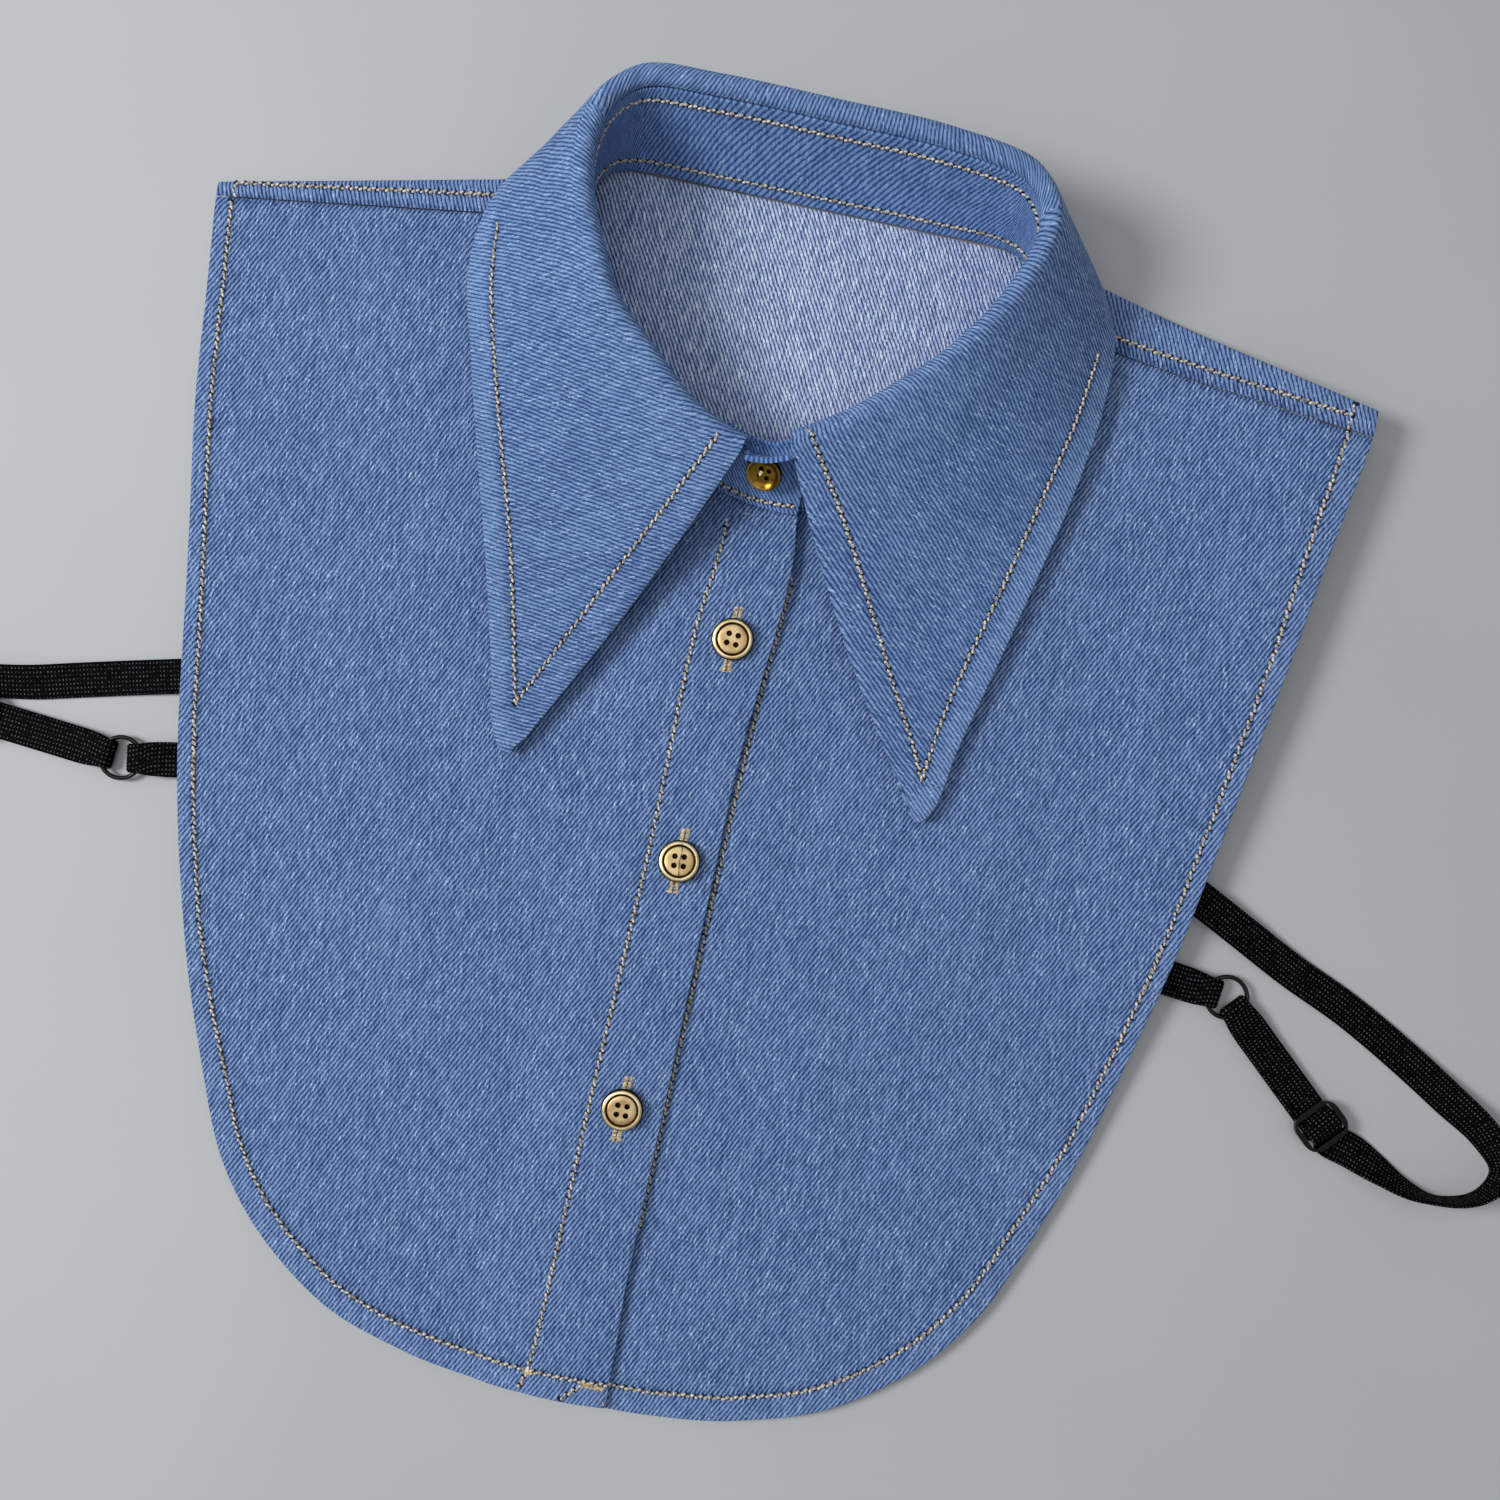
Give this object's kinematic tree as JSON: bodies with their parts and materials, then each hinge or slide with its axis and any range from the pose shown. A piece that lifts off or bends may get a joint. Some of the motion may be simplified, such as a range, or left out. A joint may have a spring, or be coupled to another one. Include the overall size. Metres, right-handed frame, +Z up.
{
  "type": "detachable shirt collar",
  "caption": "Detachable denim shirt collar with a bib front and back, a pointed fall, metal buttons and elastic side straps, laid flat.",
  "frame": {"origin": "on the flat underside of the back panel, on the centre line, 191 mm above the bottom of the fronts' hem", "axes": "+Z up from the surface that it lies on, +Y towards the back of the neck, +X towards the wearer's left front"},
  "size_m": [0.4964, 0.3759, 0.0365],
  "materials": {
    "denim": "matte washed right-hand twill",
    "brass": "aged, satin",
    "elastic": "matte braided elastic",
    "black_metal": "glossy black coat"
  },
  "bodies": {
    "root": {"back_panel": "denim", "front_over": "denim", "front_under": "denim", "collar_stand": "denim", "collar_fall": "denim", "neck_button": "brass", "button_1": "brass", "button_2": "brass", "button_3": "brass", "elastic_right": "elastic", "elastic_left": "elastic", "tab_right": "elastic", "tab_left": "elastic", "ring_right": "black_metal", "ring_left": "black_metal", "slider_right": "black_metal", "slider_left": "black_metal"}
  },
  "joints": []
}
